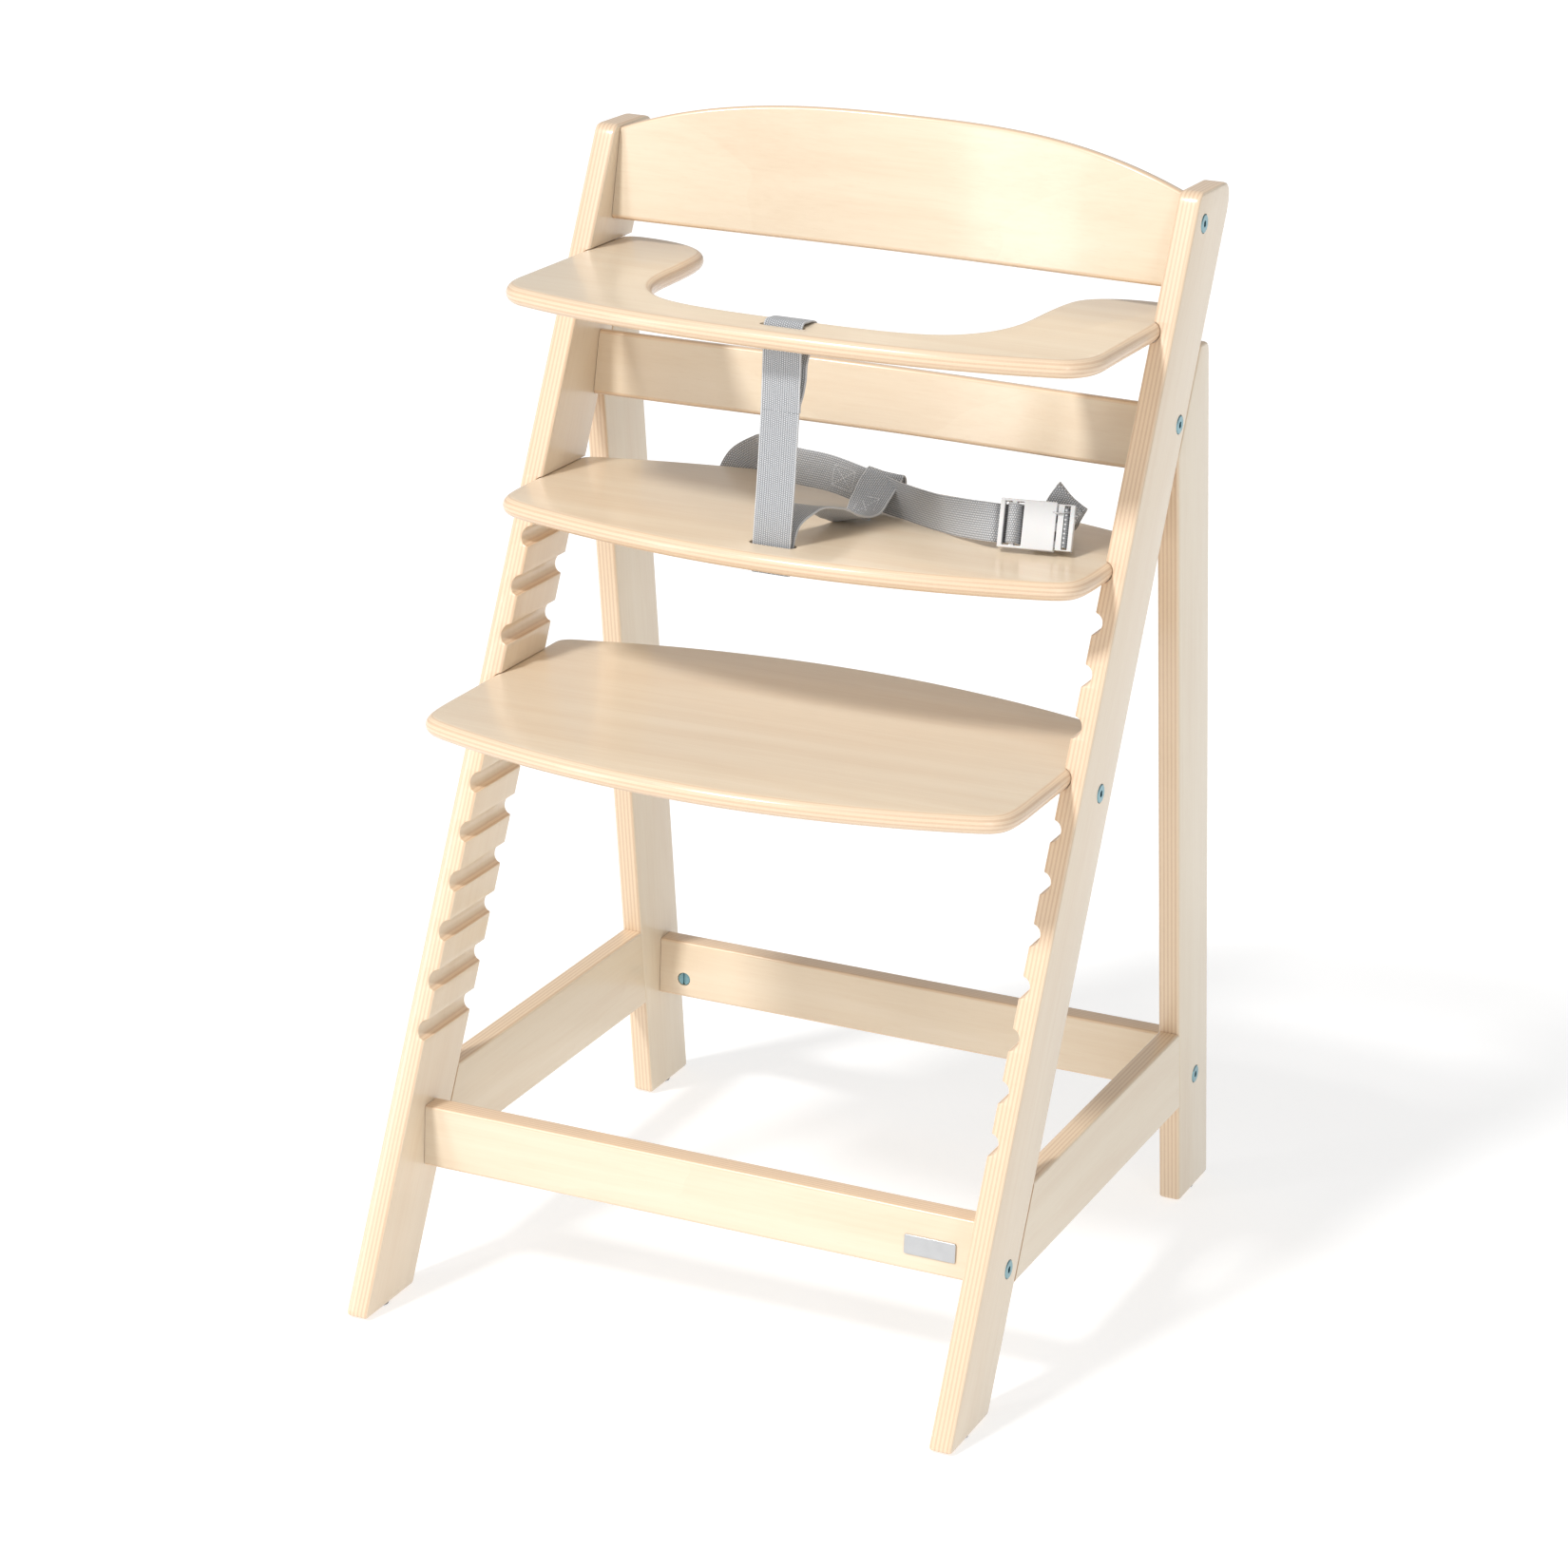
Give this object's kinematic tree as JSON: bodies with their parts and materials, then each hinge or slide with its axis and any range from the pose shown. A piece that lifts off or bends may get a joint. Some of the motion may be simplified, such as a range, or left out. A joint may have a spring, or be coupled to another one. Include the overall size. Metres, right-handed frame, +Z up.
{
  "type": "baby high chair",
  "caption": "Wooden stair high chair with grooved sloping uprights, sliding tray, seat and footrest boards, curved backrests and a webbing harness with a side-release buckle.",
  "frame": {"origin": "on the floor, midway between the feet, centre of the bounding box's base", "axes": "+X across the chair, +Y from the front to the back, +Z up"},
  "size_m": [0.4512, 0.5258, 0.8018],
  "materials": {
    "birch_frame": "birch plywood under clear satin varnish",
    "birch_board": "birch plywood boards, rounded edges, clear satin varnish",
    "beech_dowel": "fluted beech dowel, unfinished",
    "zinc": "bright zinc plate with a faint blue tint",
    "plate": "brushed blank plate",
    "webbing": "light grey woven polyester webbing",
    "buckle_plastic": "white moulded acetal, satin",
    "grey_plastic": "grey moulded plastic"
  },
  "bodies": {
    "frame": {"back_leg_left": "birch_frame", "back_leg_right": "birch_frame", "blank_plate": "plate", "bolt_front_rail_left": "zinc", "bolt_front_rail_right": "zinc", "bolt_lower_backrest_left": "zinc", "bolt_lower_backrest_right": "zinc", "bolt_rear_rail_left": "zinc", "bolt_rear_rail_right": "zinc", "bolt_tie_rod_left": "zinc", "bolt_tie_rod_right": "zinc", "bolt_upper_backrest_left": "zinc", "bolt_upper_backrest_right": "zinc", "dowel_front_rail_left": "beech_dowel", "dowel_front_rail_right": "beech_dowel", "dowel_lower_backrest_left": "beech_dowel", "dowel_lower_backrest_right": "beech_dowel", "dowel_rear_rail_left": "beech_dowel", "dowel_rear_rail_right": "beech_dowel", "dowel_upper_backrest_left": "beech_dowel", "dowel_upper_backrest_right": "beech_dowel", "front_rail": "birch_frame", "glide_front_left": "grey_plastic", "glide_front_right": "grey_plastic", "glide_rear_left": "grey_plastic", "glide_rear_right": "grey_plastic", "lower_backrest": "birch_frame", "nut_front_rail_left": "zinc", "nut_front_rail_right": "zinc", "nut_lower_backrest_left": "zinc", "nut_lower_backrest_right": "zinc", "nut_rear_rail_left": "zinc", "nut_rear_rail_right": "zinc", "nut_upper_backrest_left": "zinc", "nut_upper_backrest_right": "zinc", "rear_rail": "birch_frame", "side_rail_left": "birch_frame", "side_rail_right": "birch_frame", "tie_rod": "zinc", "upper_backrest": "birch_frame", "upright_left": "birch_frame", "upright_right": "birch_frame"},
    "tray": {"tray_board": "birch_board", "tray_strap_loop": "webbing"},
    "seat": {"seat_board": "birch_board", "tray_strap_tail": "webbing", "crotch_strap": "webbing", "strap_stopper": "grey_plastic", "waist_strap_left": "webbing", "waist_strap_right": "webbing", "anchor_screw_left": "zinc", "anchor_screw_right": "zinc", "buckle_socket": "buckle_plastic"},
    "footrest": {"footrest_board": "birch_board"},
    "buckle_plug": {"buckle_plug": "buckle_plastic"},
    "buckle_arm_upper": {"buckle_arm_upper": "buckle_plastic"},
    "buckle_arm_lower": {"buckle_arm_lower": "buckle_plastic"}
  },
  "joints": [
    {"name": "seat_slide", "type": "slide", "parent": "frame", "child": "seat", "axis": [0, 1, 0], "range_m": [-0.03, 0.03], "deforming": ["tray_strap_tail"]},
    {"name": "tray_slide", "type": "slide", "parent": "frame", "child": "tray", "axis": [0, 1, 0], "range_m": [-0.03, 0.02], "deforming": ["tray_strap_loop"]},
    {"name": "footrest_slide", "type": "slide", "parent": "frame", "child": "footrest", "axis": [0, 1, 0], "range_m": [-0.04, 0.04]},
    {"name": "buckle_plug_slide", "type": "slide", "parent": "seat", "child": "buckle_plug", "axis": [0.978, 0.2085, 0], "range_m": [0, 0.018], "deforming": ["waist_strap_right"]},
    {"name": "buckle_arm_upper_squeeze", "type": "hinge", "parent": "buckle_plug", "child": "buckle_arm_upper", "pos_m": [0.17012, -0.01078, 0.5753], "axis": [0.1958, -0.9187, 0.3429], "range_deg": [0, 8], "stiffness_Nm_per_rad": 0.12},
    {"name": "buckle_arm_lower_squeeze", "type": "hinge", "parent": "buckle_plug", "child": "buckle_arm_lower", "pos_m": [0.17178, -0.01856, 0.5535], "axis": [-0.1958, 0.9187, -0.3429], "range_deg": [0, 8], "stiffness_Nm_per_rad": 0.12}
  ]
}
